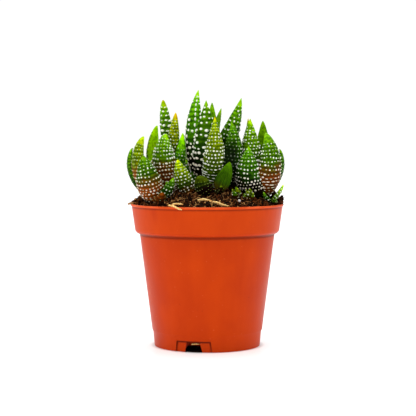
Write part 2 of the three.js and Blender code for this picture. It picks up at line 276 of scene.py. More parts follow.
studio = {
    "backdrop": 1.05, "world": 0.25,  # how bright the white room looks, and how much light it gives
    # name, where it shines from, strength, and how wide it looks in degrees
    "lamps": [("top", (0, 0.25, 1), 3.9, 100), ("key", (-0.38, -1, 0.75), 0.55, 50),
              ("left", (-1, 0.1, 0.35), 0.03, 60), ("right", (1, 0.1, 0.35), 0.05, 60)],
    "floorSize": 6000, "floorGlow": 0.3, "floorColour": (0.93, 0.93, 0.93, 1),
    # the painted shadow under the pot, and the radii where it starts to fade, has faded and the glow is full
    "paintedShadowUnderPot": (0.01, 0.008, 0.006, 1), "underReach": (19.8, 20.6, 23.2),
}
world = bpy.data.worlds.new("studio")
bpy.context.scene.world = world
world.use_nodes = True
seen = addNode("LightPath", {}, world.node_tree).outputs["Is Camera Ray"]
glow = addNode("MapRange", {"Value": seen, "To Min": studio["world"], "To Max": studio["backdrop"]})
setInputs(world.node_tree.nodes["Background"], {"Color": (1, 1, 1, 1), "Strength": glow.outputs[0]})
for name, way, power, wide in studio["lamps"]:
    bpy.ops.object.light_add(type="SUN", location=(0, 0, 0.6))
    lamp = bpy.context.object
    lamp.name = "light_" + name
    lamp.data.energy = power
    lamp.data.angle = math.radians(wide)
    lamp.rotation_euler = Vector(way).to_track_quat("Z", "Y").to_euler()
bpy.context.scene.view_settings.view_transform = "Standard"

floorMaterial, tree = startMaterial(
    "studioFloor", Roughness=0.25, Specular_IOR_Level=0.4, Emission_Color=(1, 1, 1, 1))
away = addNode("VectorMath", {0: objectPlace(tree)}, operation="LENGTH").outputs["Value"]
darkEnd, paleStart, glowFull = [radius * mm for radius in studio["underReach"]]
covered = ramp(away, darkEnd, paleStart)  # painted shadow: hardly any light gets under the pot
feedShader(tree, Base_Color=mixColour(covered, studio["paintedShadowUnderPot"], studio["floorColour"]),
           Emission_Strength=ramp(away, paleStart, glowFull, 0.0, studio["floorGlow"]))
floor = addMesh("plane", size=studio["floorSize"] * mm)
floor.name = "studio_floor"
floor.data.materials.append(floorMaterial)
print("Camera, lights and floor placed")

# The pot: rings turned from under the foot up the outside, over the lip and down the inside
pot = {
    "sides": 144, "height": 55.85, "rim": 30, "wall": 0.8,
    "footRadius": 20.8, "footTopRadius": 21.3, "footRise": 5.6,
    # radius, level, and how dark the painted shade in that line is
    "rings": [
        (19.4, 2), (19.4, 0.12), (19.52, 0), (20.68, 0), (20.8, 0.12), (21.3, 5.6),  # the foot
        (21.58, 6.22), (21.7, 6.52), (26.4, 43.1), (26.47, 43.7, 0.7), (26.5, 43.9, 0.85),  # the wall
        (27.2, 44.4, 0.8), (27.6, 44.55, 0.6), (28.04, 45), (28.3, 45.4), (28.4, 45.96),  # the band
        (29.56, 54.07), (29.66, 54.87, 0.8), (29.78, 55.03), (29.88, 55.15), (30, 55.27),  # the lip
        (30, 55.6), (29.925, 55.775), (29.75, 55.85), (29.32, 55.85), (29.2, 55.73),
        (27.6, 45.6), (25.7, 43.9), (20.8488, 6), (19.4, 3.2),  # the inside
    ],
}
drain = {
    "count": 3, "firstAngle": -105, "slotLength": 5, "pastFoot": 2, "recessDepth": 0.45,
    "recess": (13.5, 14.6, 4.3), "slot": (5.1, 7, 3.8),  # width at the top and at the foot, and height
    "border": (0.5, 0.9),  # where the painted shade in a recess's corners starts and stops fading
}
drainTurns = [math.radians(drain["firstAngle"] + 360 * number / drain["count"])
              for number in range(drain["count"])]
recessTop, recessFoot, recessHeight = drain["recess"]
recessLean = (recessFoot - recessTop) / 2 / recessHeight
footLean = (pot["footTopRadius"] - pot["footRadius"]) / pot["footRise"]


def turnRings(name, rings):
    # A filled circle drawn up and out ring by ring, closed by a last point on the axis
    radius, level = rings[0]
    piece = addMesh("circle", (0, 0, level * mm), vertices=pot["sides"], radius=radius * mm,
                    fill_type="TRIFAN")
    startEdit(piece)
    drawRings(rings)
    bpy.ops.mesh.extrude_region_move()
    bpy.ops.mesh.merge(type="CENTER")
    faceOutward()
    piece.name = piece.data.name = name
    return piece


def trapezoidBlock(sizes, inner, outer, below=1):
    # A block facing +X whose sides lean in towards its top, drawn on below the pot
    top, foot, height = sizes
    block = addMesh("cube", size=1)
    lean = (foot - top) / 2 / height * below
    for vertex in block.data.vertices:
        upper = vertex.co.z > 0
        half = top / 2 if upper else foot / 2 + lean
        vertex.co = Vector((
            inner if vertex.co.x < 0 else outer, vertex.co.y * 2 * half, height if upper else -below)) * mm
    return block


def cutWith(piece, cutter, operation="DIFFERENCE"):
    applyModifier(piece, "BOOLEAN", object=cutter, operation=operation, solver="EXACT")
    bpy.data.objects.remove(cutter)


def drainCutter(turn):
    reach = (pot["footRadius"] - drain["slotLength"], pot["footRadius"] + drain["pastFoot"])
    backTop, backFoot = pot["footTopRadius"] - drain["recessDepth"], pot["footRadius"] - drain["recessDepth"]
    cutter = trapezoidBlock(drain["recess"], *reach)
    cutWith(cutter, turnRings("core", [
        (backFoot, -drain["pastFoot"]), (backFoot, 0), (backTop, pot["footRise"])]))
    cutWith(cutter, trapezoidBlock(drain["slot"], *reach), "UNION")
    cutter.rotation_euler = (0, 0, turn)
    pick(cutter)
    applyPlace()
    return cutter


def recessEdges(x, y, z):
    # How far a point on a recess's back lies from its two slanted sides and from its top
    edges = []
    slack, nearest, deepest = 0.05, 0.3, 1.2  # how far past its edges, and how far in from the foot's face
    for turn in drainTurns:
        out, across = x * math.cos(turn) + y * math.sin(turn), y * math.cos(turn) - x * math.sin(turn)
        half = recessFoot / 2 - recessLean * z
        inward = pot["footRadius"] + footLean * z - math.hypot(x, y)
        within = abs(across) < half + slack and z < recessHeight + slack
        if out > 0 and within and nearest < inward < deepest:
            edges = [half + across, half - across, recessHeight - z]
    return edges


def cutRecessBack(piece, place, way):
    # Cuts a line across the backs of the recesses, the faces in them that look outward
    endEdit()
    for face in piece.data.polygons:
        centre = face.center / mm
        out = Vector((centre.x, centre.y, 0)).normalized()
        face.select = face.normal.dot(out) > 0.9 and bool(recessEdges(*centre))
    bpy.ops.object.mode_set(mode="EDIT")
    bpy.ops.mesh.bisect(plane_co=place * mm, plane_no=way)
    bpy.ops.mesh.select_all(action="DESELECT")


def cutRecessBorders(piece):
    # Lines beside the corners of each recess, between which the painted shade in them fades out
    up = Vector((0, 0, 1))
    startEdit(piece, "FACE")
    for turn in drainTurns:
        for distance in drain["border"]:
            for side in (-1, 1):
                way = Vector((-math.sin(turn), math.cos(turn), 0)) * side
                cutRecessBack(piece, way * (recessFoot / 2 - distance), way + up * recessLean)
            cutRecessBack(piece, up * (recessHeight - distance), up)
    endEdit()


def grooveDepth(piece):
    # How deep in a corner each point lies, which sets how dark its painted shade is
    depths, near = [], 0.03
    sideFootShade, fullLevel = 0.45, 2.5  # the painted shade on the sides is lighter at their foot, up to that level
    grooves = [ring for ring in pot["rings"] if len(ring) == 3]
    fadeStart, fadeEnd = drain["border"]
    for vertex in piece.data.vertices:
        x, y, z = vertex.co / mm
        radius, depth = math.hypot(x, y), 0
        for ringRadius, level, dark in grooves:
            if abs(radius - ringRadius) < near and abs(z - level) < near:
                depth = dark
        edges = recessEdges(x, y, z)
        if edges:
            reach = [(fadeEnd - edge) / (fadeEnd - fadeStart) for edge in edges]
            sides = min(1, max(0, *reach[:2])) * (sideFootShade + (1 - sideFootShade) * min(1, z / fullLevel))
            depth = max(depth, sides, min(1, max(0, reach[2])))
        depths.append(depth)
    return depths


potPiece = turnRings("pot_moulding", pot["rings"])
for turn in drainTurns:
    cutWith(potPiece, drainCutter(turn))
cutRecessBorders(potPiece)
paint(potPiece, groove=grooveDepth(potPiece))
shadeSmooth(potPiece, 28)

potMaterial, tree = startMaterial(
    "terracottaPlastic", Roughness=0.4, Specular_IOR_Level=0.06, Sheen_Weight=0.08, Sheen_Roughness=0.3)
cloudy = addGrain(tree, 60.0)["Value"]
drawnUp = addNode("Mapping", {"Vector": objectPlace(tree), "Scale": (1, 1, 0.12)}).outputs[0]
streaky = addGrain(tree, 170.0, place=drawnUp)["Value"]
tone = calc(calc(cloudy, "*", 0.6), "+", calc(streaky, "*", 0.4))
colour = mixColour(ramp(tone, 0.3, 0.7), (186, 52, 0), (200, 62, 1))
colour = tint(colour, addSpecks(tree, 420.0, 0.26), 0.14, (232, 130, 90))  # scuffs
colour = tint(colour, addSpecks(tree, 300.0, 0.2), 0.3, (110, 30, 10))  # grime
height = addNode("SeparateXYZ", {0: objectPlace(tree)}).outputs["Z"]
colour = tint(colour, ramp(height, 0.0452, 0.0458), 0.16, (236, 88, 16))  # the band is a little paler
stained = calc(ramp(height, 0.0465, 0.0535), "*", ramp(streaky, 0.5, 0.7))
colour = tint(colour, stained, 0.4, (168, 38, 6))  # stains that run down from the lip
lipHighlight = calc(ramp(height, 0.0551, 0.0553), "*", ramp(tone, 0.3, 0.7, 0.1, 0.7))
colour = mixColour(lipHighlight, colour, (250, 112, 62))  # a painted highlight along the top of the lip, in patches
# painted shade in the corners: under the band and the lip, and in the recesses by the drains
colour = tint(colour, readMark(tree, "groove"), 0.8, (78, 16, 2))
feedShader(tree, Base_Color=colour, Roughness=ramp(cloudy, 0.3, 0.7, 0.36, 0.5),
           Normal=addGrain(tree, 900.0, 0.00003)["Normal"])
finishPiece(potPiece, "pot", potMaterial, "pot")
print("Pot moulded:", len(potPiece.data.polygons), "faces")

# The soil: a lumpy mound that fills the pot
soil = {
    "rimLevel": 54.3, "crown": 7, "roundness": 0.8, "inset": 0.76, "edgeFade": 7,
    # waves: height, along X and Y, and shift; heaps: place, height and spread
    "waves": [(0.15, 0.9, 0.8, 0.9), (0.15, 0.9, -0.8, 1.7), (0.2, 1.6, -0.9, 2)],
    "heaps": [(-26, 2, 2.7, 3.6), (26.6, -3, 2.6, 3.4), (4, -13, 0.8, 6), (-8, 16, 0.8, 6)],
    "gap": 0.3, "gridSides": 150, "lumpFade": 6, "leastLump": 0.02,
    "lumps": [("lumps", "CLOUDS", 3.2, 1.3), ("crumbs", "VORONOI", 1.3, -0.9), ("grit", "CLOUDS", 0.7, 0.5)],
    "below": [(27.3, 45.7), (25.4, 44), (20.5, 6.1), (19.1, 3.5)],  # its rings inside the pot
}


def soilLevel(x, y):
    edge = pot["rim"] - pot["wall"] - soil["gap"]
    share = np.maximum(0, 1 - (x * x + y * y) / edge ** 2)
    level = soil["rimLevel"] + soil["crown"] * share ** soil["roundness"]
    lumps = sum(height * np.sin(alongX * x + alongY * y + shift)
                for height, alongX, alongY, shift in soil["waves"])
    heaps = sum(height * np.exp(-((x - hx) ** 2 + (y - hy) ** 2) / spread ** 2)
                for hx, hy, height, spread in soil["heaps"])
    return level + (lumps + heaps) * np.minimum(1, share * soil["edgeFade"])


def soilMound():
    radius = pot["rim"] - pot["wall"] - soil["inset"]
    mound = addMesh("grid", x_subdivisions=soil["gridSides"], y_subdivisions=soil["gridSides"], size=2)
    points = blankPoints(mound)
    x, y = points[:, 0].copy(), points[:, 1].copy()
    points[:, 0] = radius * x * np.sqrt(1 - y * y / 2)  # the square grid pressed into a disc
    points[:, 1] = radius * y * np.sqrt(1 - x * x / 2)
    points[:, 2] = soilLevel(points[:, 0], points[:, 1])
    mound.data.vertices.foreach_set("co", (points * mm).ravel())
    inward = 1 - np.hypot(points[:, 0], points[:, 1]) / radius
    fade = np.clip(inward * soil["lumpFade"], soil["leastLump"], 1)
    top = mound.vertex_groups.new(name="top")
    for index, weight in enumerate(fade):
        top.add([index], float(weight), "REPLACE")
    for lump in soil["lumps"]:
        roughen(mound, *lump, direction="Z", vertex_group="top")
    startEdit(mound)
    drawRings([(radius, soil["rimLevel"]), *soil["below"]])
    bpy.ops.mesh.edge_face_add()
    faceOutward()
    mound.name = mound.data.name = "soil_mound"
    shadeSmooth(mound)
    return mound


peatMaterial, tree = startMaterial("peat", Roughness=0.95, Specular_IOR_Level=0.05)
tone = calc(readMark(tree, "tone"), "+", calc(addGrain(tree, 260.0)["Value"], "*", 0.5))
colour = mixColour(ramp(tone, 0.2, 0.75), (16, 6, 2), (96, 50, 19))
colour = mixColour(ramp(tone, 0.8, 1.3), colour, (212, 158, 96))
colour = tint(colour, addSpecks(tree, 900.0, 0.35), 0.5, (150, 104, 52))
feedShader(tree, Base_Color=colour, Normal=addGrain(tree, 1500.0, 0.0003)["Normal"])

mound = soilMound()
paint(mound, tone=0.0)
finishPiece(mound, "soil", peatMaterial, "soil")
print("Soil heaped:", len(mound.data.polygons), "faces")

# Loose crumbs and fibres on the mound
litter = {
    "seed": 12, "crumbs": 5200, "crumbKinds": 5, "crumbSize": (0.2, 0.75), "crumbEdge": 28.6,
    "dents": (0.75, 0.55, 1.3),  # a crumb's usual radius, and the depth and fineness of its dents
    "stretch": [(0.7, 1.6), (0.6, 1), (0.5, 0.9)], "lift": (-0.1, 0.3),
    "mostlySmall": 2.5, "mostlyDark": 2.2,
    # place, spread, height, number and brightness of the crumbs in each pile
    "piles": [(-27.4, -4, 2.05, 2.3, 170, 1.1), (26.8, -5, 2.6, 3, 220, 0.42), (-20, -18, 3, 1.2, 90, 0.7),
              # the last pile, at (11.2, -4), is dark crumbs heaped into a gap between the rosettes, standing
              # in for the shade there
              (22, -16, 3, 1.2, 90, 0.7), (30.2, -4.6, 1.5, 4.4, 190, 0.42), (11.2, -4, 2.4, 3.4, 130, 0.4)],
    "pileCrumb": (0.4, 1.1), "pileEdge": 29.35, "rimNear": 0.8, "rimSink": 0.15,
    "fibres": 520, "fibreSides": 5, "fibreRows": 7, "fibreEdge": 28, "fibreReach": 28.5,
    "fibreTone": (0.35, 1.1),
    # the least and most length, width, turn, bend and rise of a fibre
    "fibreForm": [(0.8, 3.4), (0.05, 0.13), (0, 6.3), (-0.35, 0.35), (0.1, 0.7)],
}
fullTurn = 6.3


def tonedCopies(name, blank, places, tones):
    piece = manyCopies(name, blank, places)
    paint(piece, tone=np.repeat(tones, len(blank.data.vertices)))
    bpy.data.objects.remove(blank)
    return piece


def crumbBlank(seed):
    blank = addMesh("ico_sphere", subdivisions=1, radius=1)
    radius, depth, fineness = litter["dents"]
    for vertex in blank.data.vertices:
        vertex.co *= radius + depth * noise.noise(vertex.co * fineness + Vector((seed * 7.1, 0, 0)))
    return blank


def scatterPlaces(count, draw, edge):
    places = []
    while len(places) < count:
        x, y = draw.uniform(-edge, edge), draw.uniform(-edge, edge)
        if x * x + y * y < edge * edge:
            places.append((x, y, float(soilLevel(x, y))))
    return places


def pileSpot(pile, draw):
    px, py, spread, height, _, bright = pile
    x, y = px + draw.gauss(0, spread / 2), py + draw.gauss(0, spread / 2)
    reach = min(1, litter["pileEdge"] / math.hypot(x, y))
    x, y = x * reach, y * reach
    away = math.hypot(x - px, y - py) / spread
    lift = draw.uniform(0, 1) * height * max(0, 1 - away * away / 2)
    onRim = math.hypot(x, y) > pot["rim"] - pot["wall"] - litter["rimNear"]
    level = max(float(soilLevel(x, y)), pot["height"] - litter["rimSink"] if onRim else 0)
    return x, y, level + lift, litter["pileCrumb"], bright


def scatterCrumbs():
    draw = random.Random(litter["seed"])
    pieces, kinds = [], litter["crumbKinds"]
    for kind in range(kinds):
        blank = crumbBlank(kind)
        points = blankPoints(blank)
        copies, tones = [], []
        places = scatterPlaces(litter["crumbs"] // kinds, draw, litter["crumbEdge"])
        spots = [(*place, litter["crumbSize"], 1) for place in places]
        spots += [pileSpot(pile, draw) for pile in litter["piles"] for crumb in range(pile[4] // kinds)]
        for x, y, z, (low, high), bright in spots:
            size = low + (high - low) * draw.random() ** litter["mostlySmall"]
            turn = np.array(Euler([draw.uniform(0, fullTurn) for axis in range(3)]).to_matrix())
            stretch = np.array([draw.uniform(*reach) for reach in litter["stretch"]])
            lift = size * 0.25 + draw.uniform(*litter["lift"])
            copies.append(((points * stretch * size) @ turn.T + (x, y, z + lift)) * mm)
            tones.append(draw.random() ** litter["mostlyDark"] * bright)
        pieces.append(tonedCopies("crumbs", blank, copies, tones))
    return joinPieces("soil_crumbs", pieces)


def fibreBlank():
    blank = addMesh("cylinder", vertices=litter["fibreSides"], radius=1, depth=1, end_fill_type="TRIFAN")
    startEdit(blank)
    for row in range(1, litter["fibreRows"]):
        bpy.ops.mesh.select_all(action="SELECT")
        bpy.ops.mesh.bisect(plane_co=(0, 0, row / litter["fibreRows"] - 0.5), plane_no=(0, 0, 1))
    endEdit()
    return blank


def scatterFibres():
    draw = random.Random(litter["seed"] + 1)
    blank = fibreBlank()
    points = blankPoints(blank)
    copies, tones = [], []
    for x, y, z in scatterPlaces(litter["fibres"], draw, litter["fibreEdge"]):
        length, width, way, bend, rise = [draw.uniform(*reach) for reach in litter["fibreForm"]]
        along, taper = points[:, 2] * length, 1 - 1.2 * points[:, 2] ** 2
        across = points[:, 0] * width * taper + bend * length * (points[:, 2] * 2) ** 2 * 0.4
        wx = x + along * math.cos(way) - across * math.sin(way)
        wy = y + along * math.sin(way) + across * math.cos(way)
        keep = np.minimum(1, litter["fibreReach"] / np.maximum(np.hypot(wx, wy), 1e-6))
        wx, wy = wx * keep, wy * keep
        lift = 0.25 + points[:, 1] * width * taper + rise * (points[:, 2] + 0.5) * length * 0.25
        copies.append(np.stack([wx, wy, soilLevel(wx, wy) + lift], axis=-1) * mm)
        tones.append(draw.uniform(*litter["fibreTone"]))
    return tonedCopies("soil_fibres", blank, copies, tones)


crumbs, fibres = scatterCrumbs(), scatterFibres()
shadeSmooth(crumbs, 40)
shadeSmooth(fibres)
finishPiece(crumbs, "soil", peatMaterial)
finishPiece(fibres, "soil", peatMaterial)
print("Litter scattered:", len(crumbs.data.polygons) + len(fibres.data.polygons), "faces")

# Leaves: the form that all of them share, in shares of a leaf's length and width
leafForm = {"depth": 0.34, "depthTaper": 0.85, "innerSwell": 0.1, "keel": 0.12, "ridge": 0.04,
            "wave": 0.015, "waveTurn": 1.1, "columns": 24, "rows": 72}
# A stem is sunk, deep and rounded by these shares of its radius
stemForm = {"sink": 0.25, "depth": 1.3, "round": 0.3}
# How small pearls get, how many stay, how many are drawn out and by how much, sizes, and those on the edge
pearlForm = {"least": 0.38, "kept": 0.95, "long": 0.08, "longer": (0.4, 0.8), "barred": (0.2, 1.9),
             "size": (0.66, 1.24), "edgeAngle": 0.1, "edgeSize": (0.6, 0.9)}
# A leaf is its azimuth, lean at base and tip, length, width, distance out and rise, how far its brown foot
# reaches, how dark that foot is with painted shade, how golden and how bright the leaf is, and its pearls'
# width and row pitch
leafKeys = "azimuth lift tipLift length width out rise foot char gold tone pearl pitch".split()
# What only some leaves have of their own
leafUsual = {
    "turn": 0, "roll": 0, "tilt": 0, "aside": 0,  # turned as it grows, rolled, tilted, and moved sideways
    "base": 0.72, "widest": 0.26, "taper": 0.7,  # breadth of its base, where it is widest, how full its tip
    "lowTone": 1, "innerTone": 1,  # how much brighter it is low down, and on its inner face
    "tip": 0, "shadeSide": 0,  # how golden its tip is, and which side lies in the dark
    "bare": 0.08, "start": 0.02,  # shares of its length without pearls, at the tip and at the foot
    "room": 1.1, "crowd": 0.2,  # room between the pearls of a row in pitches, and crowding of the low rows
    "bars": 0.3, "barReach": 0.36,  # how far pearls run together as bars, up to that share of the leaf
    "keel": 0, "edged": 0.85,  # the angle of a line of long pearls, and how many rows have one on the edge
}
# Where each rosette stands, the radius of its stem, and its leaves
rosettes = {
    "rosette_front_left": ((-20.5, -10, 57.8), 3.6, [
        (174, 30, 107, 20, 6.6, 1.45, 2.8, 0.25, 0.3, 0.1, 0.85, 0.22, 1.15, {"taper": 0.6}),
        (207, 46, 115, 23.1, 10, 0.6, 3, 0.5, 0.1, 0.7, 0.86, 0.42, 1.08, {"taper": 0.62, "bare": 0.15}),
        (266, 38, 102, 19.8, 10, -0.3, 0.2, 0.52, 0.05, 0.1, 0.6, 0.62, 1.15,
         {"tilt": -12, "aside": 0.45, "lowTone": 1.7, "bars": 0.4, "crowd": 0.4, "base": 0.64,
          "widest": 0.34, "bare": 0.12, "taper": 0.82}),
        (315, 25, 60, 12.8, 6.5, 1.5, 0.3, 0.4, 0.9, 0, 0.6, 0.55, 1.25, {"bars": 0}),
        (290, 4, 40, 10, 6.4, 1.4, -0.4, 1.5, 0.5, 0, 0.8, 0.4, 1.4),
        (70, 30, 70, 6, 4.5, 1, 0.8, 0.4, 0.4, 0.1, 0.8, 0.6, 1.3),
        (125, 35, 85, 10, 6, 1, 1, 0.4, 0.4, 0.1, 0.8, 0.6, 1.3),
        (10, 35, 80, 7.5, 5, 1, 1, 0.4, 0.4, 0.1, 0.8, 0.6, 1.3)]),
    "rosette_mid_left": ((-15.5, 3, 60), 3.6, [
        (140, 45, 113, 27.7, 8.8, 0.7, 1, 0.15, 0.3, 0.4, 0.9, 0.4, 1.6, {"innerTone": 2.8, "taper": 0.65}),
        (238, 75.2, 78.6, 34.5, 5.7, -4.45, 3, 0.2, 0.7, 0.1, 0.88, 0.92, 1.9,
         {"tip": 0.6, "taper": 0.56, "room": 0.7, "bars": 0.8, "barReach": 0.98, "base": 0.54,
          "widest": 0.6}),
        (290.3, 70, 76.4, 30.8, 6.1, 0.5, 2, 0.25, 0.8, 1, 0.85, 0.54, 1.2,
         {"tip": 0.9, "taper": 0.6, "room": 1}),
        (270, 35, 112, 25, 11.9, 1.5, 1, 0.55, 0.45, 0.15, 0.96, 0.68, 1.18,
         {"turn": -38, "lowTone": 1.4, "bare": 0.1, "taper": 0.62, "bars": 0.9, "room": 0.95, "crowd": 0.5}),
        (310, 60, 82, 24.1, 6.8, 1.5, 1, 0.25, 0.7, 0, 1.65, 0.46, 1.15, {"bare": 0.26, "edged": 0.4}),
        (95, 50, 95, 23.5, 8, 1, 1.5, 0.3, 0.4, 0.2, 0.8, 0.75, 1.7),
        (50, 50, 100, 20, 7.5, 1, 1, 0.35, 0.5, 0.1, 0.8, 0.7, 1.6),
        (175, 35, 105, 15, 6.5, 1, 0, 0.4, 0.4, 0.1, 0.8, 0.65, 1.5)]),
    "rosette_centre": ((1.5, 3, 62), 4, [
        (218, 58.3, 106, 39, 11.5, 1, 1, 0.46, 1, 0, 1.2, 1.1, 1.85,
         {"turn": 10, "tip": 0.1, "edged": 0.2, "taper": 0.88, "bars": 0, "keel": 0.95, "room": 1,
          "crowd": 0.1}),
        (258, 54, 95, 35.3, 11.5, 1, 1, 0.42, 1, 0.05, 0.65, 1.14, 2.1,
         {"turn": 5, "taper": 0.92, "bars": 0.35, "barReach": 1, "room": 0.8, "edged": 0.15,
          "lowTone": 1.9}),
        (86, 68, 93, 32.5, 6.5, 0.8, 2, 0.1, 0.5, 0.1, 1.2, 0.7, 1.8),
        (60, 80, 58, 31.9, 5, -3.1, 2, 0.1, 0.5, 0.3, 0.8, 0.7, 1.8),
        (268, 38, 106, 31.2, 9.8, 3.4, 0, 0.08, 0.5, 0.7, 0.88, 0.68, 1.15,
         {"tip": 1, "aside": 1.9, "taper": 1, "bars": 1.6, "barReach": 0.45, "room": 1, "crowd": 0.3,
          "lowTone": 2.6, "base": 0.85}),
        (325, 49.6, 67, 38.4, 12.6, -4.6, 2.6, 0.5, 1, 0.05, 0.82, 0.78, 1.6,
         {"turn": -10, "taper": 0.88, "bars": 0, "room": 0.95}),
        (310, 20, 112, 30.5, 12.4, 1.5, 1, 0.4, 1, 0, 0.75, 0.58, 1.1,
         {"turn": -10, "shadeSide": -1, "taper": 0.95, "bars": 0, "room": 1.25}),
        (2, 24, 112, 23.5, 7, 1.5, 1, 0.35, 1, 0.1, 0.45, 0.6, 1.6),
        (140, 52, 100, 28, 9, 1, 1, 0.35, 0.8, 0.15, 0.8, 0.9, 2),
        (105, 50, 98, 24, 8.5, 1.5, 0.5, 0.4, 0.7, 0.2, 0.8, 0.8, 1.7, {"tip": 0.2}),
        (35, 45, 105, 24, 8.5, 1.5, 0.5, 0.4, 0.7, 0.1, 0.8, 0.8, 1.7),
        (195, 20, 85, 10, 7, 1.5, 0.3, 0.6, 0.9, 0, 0.8, 0.65, 1.5),
        (340, 18, 85, 11, 6.5, 1.5, 0.3, 0.6, 0.9, 0, 0.8, 0.65, 1.5),
        (355, 30, 100, 15, 6, 1.5, 0.5, 1, 1, 0, 0.8, 0.5, 1.6)]),
    "rosette_right": ((20.6, -2, 60.6), 3.8, [
        (222, 74, 88, 27, 11.6, 1.3, 2, 0.3, 0.6, 0.2, 1.05, 0.66, 1.2,
         {"turn": 10, "tip": 0.1, "lowTone": 1.5, "taper": 0.92, "room": 1.05, "bare": 0.12}),
        (200, 78, 86, 26.6, 5.8, 1.2, 2.4, 0.5, 0.1, 1, 0.8, 0.4, 1.5, {"tip": 0.8, "taper": 0.75}),
        (74, 65, 98, 26.5, 7.3, 1, 2, 0.15, 0.4, 0.2, 1, 0.2, 1.6, {"bare": 0.3, "edged": 0.3}),
        (294, 33, 127, 26.2, 10.5, 1.3, 0, 0.5, 0.4, 0.1, 0.76, 0.57, 1.15,
         {"turn": 8, "bars": 1.3, "barReach": 0.46, "room": 1.05, "crowd": 0.25, "bare": 0.2}),
        (5, 37, 102, 18.6, 7, 1.52, 0.3, 0.2, 0.5, 0, 0.55, 0.4, 1.2),
        (232, 32, 112, 20.5, 12.2, 1.9, 0, 0.45, 1, 0, 0.85, 0.68, 1.12,
         {"turn": 25, "base": 0.82, "taper": 1, "bars": 0, "crowd": 0.3, "lowTone": 2.2, "start": 0.2}),
        (120, 70, 92, 20.5, 6, 1, 2, 0.2, 0.5, 0.2, 0.8, 0.7, 1.6),
        (100, 40, 100, 16, 7.5, 1, 1, 0.4, 0.5, 0.1, 0.8, 0.7, 1.5),
        (45, 40, 105, 16, 7.5, 1, 1, 0.4, 0.5, 0.1, 0.8, 0.7, 1.5),
        (165, 45, 100, 11, 6.5, 1, 1, 0.9, 0.9, 0.1, 0.8, 0.55, 1.4),
        (185, 40, 95, 12, 6, 1, 1, 1, 1, 0, 0.8, 0.5, 1.5)]),
    "pup_front_left": ((-4.7, -8.4, 61), 1.8, [
        (205, 58, 76, 13.4, 7.6, 2.2, 0, 0.15, 0.8, 0.7, 1.35, 0.6, 1.1,
         {"roll": 40, "tip": 0.3, "bars": 0, "room": 1.35}),
        (300, 40, 80, 4.5, 3.9, 0.5, 0.3, 0.3, 0.8, 0.3, 0.8, 0.5, 1.1)]),
    "pup_front_middle": ((3.8, -14, 61.2), 1.6, [
        (15, 60, 72, 12, 6.8, 0.2, 0.3, 0.25, 0.5, 0, 0.5, 0.28, 1.4,
         {"roll": 50, "bare": 0.4, "base": 0.35}),
        (205, 25, 100, 7.4, 7.6, 3.3, 0, 0.5, 0.9, 0.5, 0.16, 0.22, 1,
         {"roll": 40, "taper": 0.4, "bars": 0, "bare": 0.3}),
        (300, 20, 60, 3.6, 3.4, 0.5, 0, 0.9, 0.9, 0.4, 0.3, 0.25, 1)]),
    "pup_rim": ((25.2, -9.3, 56.9), 1.2, [
        (350, 50, 57, 8.4, 3.9, -0.75, 0.1, 0.2, 0.8, 0.4, 1.8, 0.52, 1.2,
         {"bars": 0, "keel": 1.57, "room": 1.3}),
        (195, 35, 62, 5, 3.6, 0.3, 0.3, 0.1, 0.8, 0, 1, 0.48, 1, {"bars": 0}),
        (285, 5, 40, 3.6, 3, 0.3, 0.1, 0.6, 0.8, 0, 0.4, 0.3, 1)]),
}
# Rosettes whose leaves follow the plant's own spiral
spiral = {
    "turn": 137.5, "seed": 5,
    # for the outer leaf and the inner one: lean at base and tip, then length, width, distance out and rise
    # as shares of the rosette's own measures, and how far the brown foot reaches
    "leaf": [(22, 70), (98, 92), (0.8, 1), (1, 0.65), (0.17, 0), (0, 0.25), (0.5, 0.2)],
}
spiralKeys = "at stem count length width first gold tone".split()
spiralRosettes = {
    "rosette_back": ((5, 20.5, 60), 3.4, 8, 20.4, 8.2, 80, 0.5, 0.8),
    "rosette_back_left": ((-12, 17, 60), 2.8, 7, 16, 6.8, 30, 0.5, 0.8),
    "rosette_back_right": ((19.5, 14.5, 58.8), 2.8, 6, 17, 7.2, 60, 0.5, 0.8),
    "pup_right_a": ((11, -17.5, 59.2), 1, 5, 3.4, 2.4, 250, 1.6, 0.55),
    "pup_right_b": ((15.9, -15, 58.2), 1.1, 7, 3.7, 2.4, 200, 1.6, 0.55),
}


def spiralLeaves(rule, draw):
    leaves = []
    for number in range(rule["count"]):
        inward = number / (rule["count"] - 1)
        lift, tipLift, length, width, out, rise, foot = [
            outer + (inner - outer) * inward for outer, inner in spiral["leaf"]]
        size = min(1, rule["width"] / 7)
        char, gold = draw.uniform(0.3, 1), min(1, draw.uniform(0, rule["gold"]))
        leaves.append((
            rule["first"] + number * spiral["turn"], lift, tipLift, rule["length"] * length,
            rule["width"] * width, rule["width"] * out, rule["width"] * rise, foot, char, gold,
            rule["tone"], 0.3 + 0.45 * size, 0.9 + 0.7 * size, {"tip": draw.choice((0, 0, 0.5))}))
    return leaves


def widthShare(leaf, t):
    widest = leaf["widest"]
    low = leaf["base"] + (1 - leaf["base"]) * np.sin(np.pi / 2 * np.minimum(1, t / widest))
    high = np.cos(np.pi / 2 * np.clip((t - widest) / (1 - widest), 0, 1)) ** leaf["taper"]
    return np.where(t < widest, low, high)


def turned(first, second, degrees):
    # Two directions at right angles, turned in their own plane
    c, s = math.cos(math.radians(degrees)), math.sin(math.radians(degrees))
    return first * c + second * s, second * c - first * s


def leafDirections(leaf, t):
    # Along the leaf, across it, and towards its inner face
    lean = np.radians(leaf["lift"] + (leaf["tipLift"] - leaf["lift"]) * t)
    way = np.radians(leaf["azimuth"] + leaf["turn"] * t)
    along = np.stack([np.cos(lean) * np.cos(way), np.cos(lean) * np.sin(way), np.sin(lean)], axis=-1)
    side = np.stack([-np.sin(way), np.cos(way), np.zeros_like(way)], axis=-1)
    inner = np.cross(along, side)
    along, side = turned(along, side, leaf["tilt"])
    return along, *turned(side, inner, leaf["roll"])


